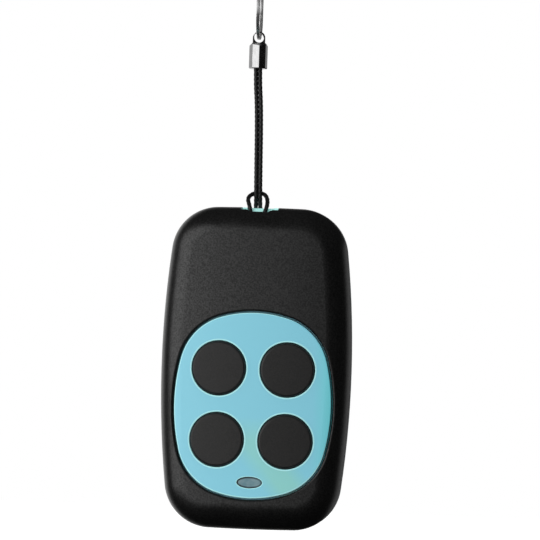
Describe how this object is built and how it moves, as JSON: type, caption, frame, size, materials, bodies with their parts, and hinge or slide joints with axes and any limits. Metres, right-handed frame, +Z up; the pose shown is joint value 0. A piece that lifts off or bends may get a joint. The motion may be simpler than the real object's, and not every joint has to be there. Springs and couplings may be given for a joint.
{
  "type": "hand-held remote control",
  "caption": "Cloning remote control with round keys in an oval teal face plate, hung by a cord strap from a split ring.",
  "frame": {"origin": "centre of the split ring, from which the strap and the remote hang down, the remote 1.5 mm to the right", "axes": "+Z up along the hanging strap and the remote's length, keys face -Y, the ring's own axis is X turned 5.5 degrees about Z"},
  "size_m": [0.0366, 0.0128, 0.1062],
  "materials": {
    "case_black": "soft-touch coated, fine grain",
    "frame_teal": "satin, slightly milky",
    "key_black": "matte",
    "lens_smoke": "smoky clear",
    "steel_bright": "nickel plated",
    "cord_black": "fine braid",
    "screw_steel": "zinc plated",
    "led_clear": "clear",
    "board_green": "solder mask",
    "cell_steel": "nickel plated",
    "chip_black": "moulded epoxy",
    "can_metal": "tinned",
    "resistor_dark": "glazed",
    "capacitor_tan": "ceramic",
    "copper_wire": "enamelled copper",
    "switch_black": "moulded",
    "plunger_tan": "moulded"
  },
  "bodies": {
    "key_ring": {"split_ring": "steel_bright"},
    "strap": {"strap_cord": "cord_black", "crimp_ferrule": "steel_bright"},
    "remote": {"front_shell": "case_black", "rear_shell": "case_black", "inner_frame": "frame_teal", "case_screws": "screw_steel", "indicator_lens": "lens_smoke", "indicator_led": "led_clear", "circuit_board": "board_green", "coin_cell": "cell_steel", "battery_clip": "cell_steel", "battery_contact": "cell_steel", "microcontroller": "chip_black", "memory_chip": "chip_black", "crystal_can": "can_metal", "radio_filter": "can_metal", "radio_transistor": "chip_black", "chip_resistors": "resistor_dark", "chip_capacitors": "capacitor_tan", "antenna_loop": "copper_wire", "switch_base_upper_left": "switch_black", "switch_cover_upper_left": "can_metal", "switch_base_upper_right": "switch_black", "switch_cover_upper_right": "can_metal", "switch_base_lower_left": "switch_black", "switch_cover_lower_left": "can_metal", "switch_base_lower_right": "switch_black", "switch_cover_lower_right": "can_metal"},
    "key_upper_left": {"key_upper_left": "key_black", "switch_plunger_upper_left": "plunger_tan"},
    "key_upper_right": {"key_upper_right": "key_black", "switch_plunger_upper_right": "plunger_tan"},
    "key_lower_left": {"key_lower_left": "key_black", "switch_plunger_lower_left": "plunger_tan"},
    "key_lower_right": {"key_lower_right": "key_black", "switch_plunger_lower_right": "plunger_tan"}
  },
  "joints": [
    {"name": "strap_swing", "type": "hinge", "parent": "key_ring", "child": "strap", "pos_m": [0, 0, -0.00565], "axis": [-0.0958, 0.9954, 0], "range_deg": [-75, 75]},
    {"name": "remote_swing", "type": "hinge", "parent": "strap", "child": "remote", "pos_m": [0.0015, 0, -0.03935], "axis": [1, 0, 0], "range_deg": [-60, 40]},
    {"name": "press_upper_left", "type": "slide", "parent": "remote", "child": "key_upper_left", "axis": [0, 1, 0], "range_m": [0, 0.00035], "stiffness_N_per_m": 400, "springref_m": -0.002},
    {"name": "press_upper_right", "type": "slide", "parent": "remote", "child": "key_upper_right", "axis": [0, 1, 0], "range_m": [0, 0.00035], "stiffness_N_per_m": 400, "springref_m": -0.002},
    {"name": "press_lower_left", "type": "slide", "parent": "remote", "child": "key_lower_left", "axis": [0, 1, 0], "range_m": [0, 0.00035], "stiffness_N_per_m": 400, "springref_m": -0.002},
    {"name": "press_lower_right", "type": "slide", "parent": "remote", "child": "key_lower_right", "axis": [0, 1, 0], "range_m": [0, 0.00035], "stiffness_N_per_m": 400, "springref_m": -0.002}
  ]
}
